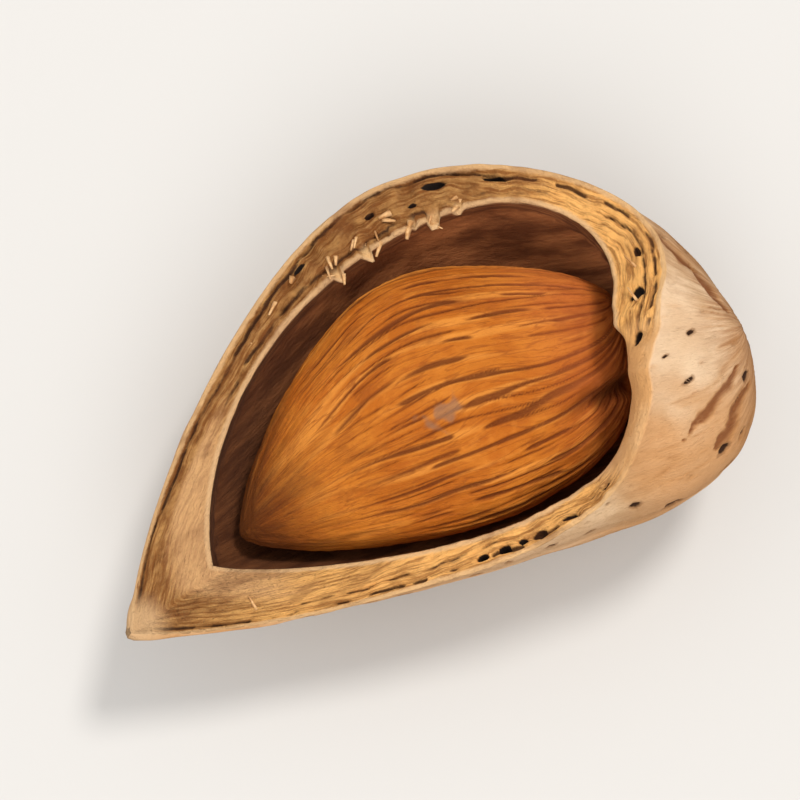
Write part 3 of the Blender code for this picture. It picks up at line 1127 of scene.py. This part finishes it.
# %% Kernel: its colour and its feel
brown = suede.layers(
    suede.mix(cloud.step(0.35, 0.65), tone(180, 96, 20), tone(198, 116, 34)),
    (veining.step(0.46, 0.7) * 0.45, tone(160, 78, 18)),
    # painted highlight on the backs of the folds and on the raised swells
    (suede.read("wave").step(0.1, 0.6) * 0.6, tone(226, 146, 60)),
    (abs(thin_lines - 0.5).step(0.045, 0.0) * 0.5, tone(136, 66, 16)),
    (mottle.step(0.54, 0.7) * 0.5, tone(140, 68, 16)),
    (mottle.step(0.44, 0.3) * 0.4, tone(222, 138, 50)),
    # the folds' bottoms: partly their own dark brown, partly painted shade
    (wrinkles.step(0.1, 0.7) * 0.85, tone(100, 42, 8)),
    (powder.step(0.55, 0.8) * 0.2, tone(230, 156, 74)),
    # the tip: own darker brown with painted shade
    (dark_tip * (0.6 + 0.4 * veining), tone(78, 34, 10)),
    (along_kernel.step(0.68, 0.95) * 0.45, tone(206, 108, 58)),
    # painted shade in the crease at the broad end
    (suede.read("crease") * 0.75, tone(84, 38, 14)),
    (suede.read("scuff") * 0.7, tone(142, 104, 78)),
)
suede.feed("Base Color", brown)
suede.feed("Roughness", 0.6 + 0.25 * (powder - 0.5) + 0.1 * wrinkles)
vein_height = suede.noise(suede.place("grain", (1.2, 7.0, 7.0)), 4, 0.65)
suede.feed("Normal", suede.bump(vein_height, 0.12, suede.bump(powder, 0.06)))
kernel.data.materials.append(suede.material)
print("kernel nodes:", suede.nodes())

# %% [markdown]
# ## Floor, light and camera
# The nut lies on a plain pale floor. One soft main light comes from beyond the stem end,
# so the shadow falls towards the tip, two weaker ones soften it, and the world fills in
# the rest. Suns light so small a thing more evenly than area lights would.

# %% The floor
FLOOR_SIZE = 6.0

floor_bm = bmesh.new()
bmesh.ops.create_grid(floor_bm, x_segments=1, y_segments=1, size=FLOOR_SIZE / 2)
floor_mesh = as_mesh(floor_bm, "floor")
floor = bpy.data.objects.new("floor", floor_mesh)
link(floor)
pale = Finish("floor_finish", 0.9)
pale.shader.inputs["Base Color"].default_value = tone(204, 202, 199)
floor_mesh.materials.append(pale.material)
floor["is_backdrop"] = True
print("floor:", FLOOR_SIZE, "m across")

# %% The lights
# A row is a name, a bearing, a height and a width in degrees, a strength and a colour.
SUNS = (
    ("main_light", 30, 58, 14, 1.65, (1.0, 0.97, 0.93)),
    ("side_light", -105, 42, 40, 1.1, (1.0, 0.98, 0.96)),
    ("back_light", 150, 35, 50, 0.3, (0.98, 0.99, 1.0)),
)
CENTRE = (CAD_LOW + CAD_HIGH) / 2


def outwards(bearing, height):
    """The way to something seen at a bearing and a height, in degrees."""
    a, e = math.radians(bearing), math.radians(height)
    return Vector((math.cos(a) * math.cos(e), math.sin(a) * math.cos(e), math.sin(e)))


for name, bearing_there, height, spread, strength, colour in SUNS:
    light = bpy.data.lights.new(name, "SUN")
    light.angle, light.energy, light.color = math.radians(spread), strength, colour
    lamp = bpy.data.objects.new(name, light)
    back = outwards(bearing_there, height)
    lamp.location = CENTRE + back
    lamp.rotation_euler = back.to_track_quat("Z", "Y").to_euler()
    link(lamp)
print("suns:", len(SUNS))

# %% The light from all round
WORLD_STRENGTH = 0.78

world = bpy.data.worlds.new("studio")
world.use_nodes = True
background = world.node_tree.nodes["Background"]
background.inputs["Color"].default_value = (1.0, 0.99, 0.98, 1.0)
background.inputs["Strength"].default_value = WORLD_STRENGTH
bpy.context.scene.world = world
bpy.context.scene.view_settings.view_transform = "Standard"
print("world strength:", WORLD_STRENGTH)

# %% [markdown]
# The camera looks down steeply through a long lens, turned so that the tip points to the
# lower left. It stands as far off as the lens needs for the nut to fill the view.

# %% The camera
LENS, SENSOR = 150.0, 36.0
CAMERA_BEARING, CAMERA_HEIGHT = -113.4, 79
VIEW_WIDTH = 1.18 * LENGTH
NEAR, FAR = 0.01, 20.0

camera_data = bpy.data.cameras.new("camera")
camera_data.lens, camera_data.sensor_width = LENS, SENSOR
camera_data.clip_start, camera_data.clip_end = NEAR, FAR
camera = bpy.data.objects.new("camera", camera_data)
link(camera)
bpy.context.scene.camera = camera
back, right = outwards(CAMERA_BEARING, CAMERA_HEIGHT), outwards(CAMERA_BEARING + 90, 0)
turned = Matrix((right, back.cross(right), back)).transposed().to_4x4()
camera.matrix_world = Matrix.Translation(CENTRE + back * (VIEW_WIDTH * LENS / SENSOR)) @ turned
print("camera at", [round(v, 3) for v in camera.matrix_world.translation])

# %% [markdown]
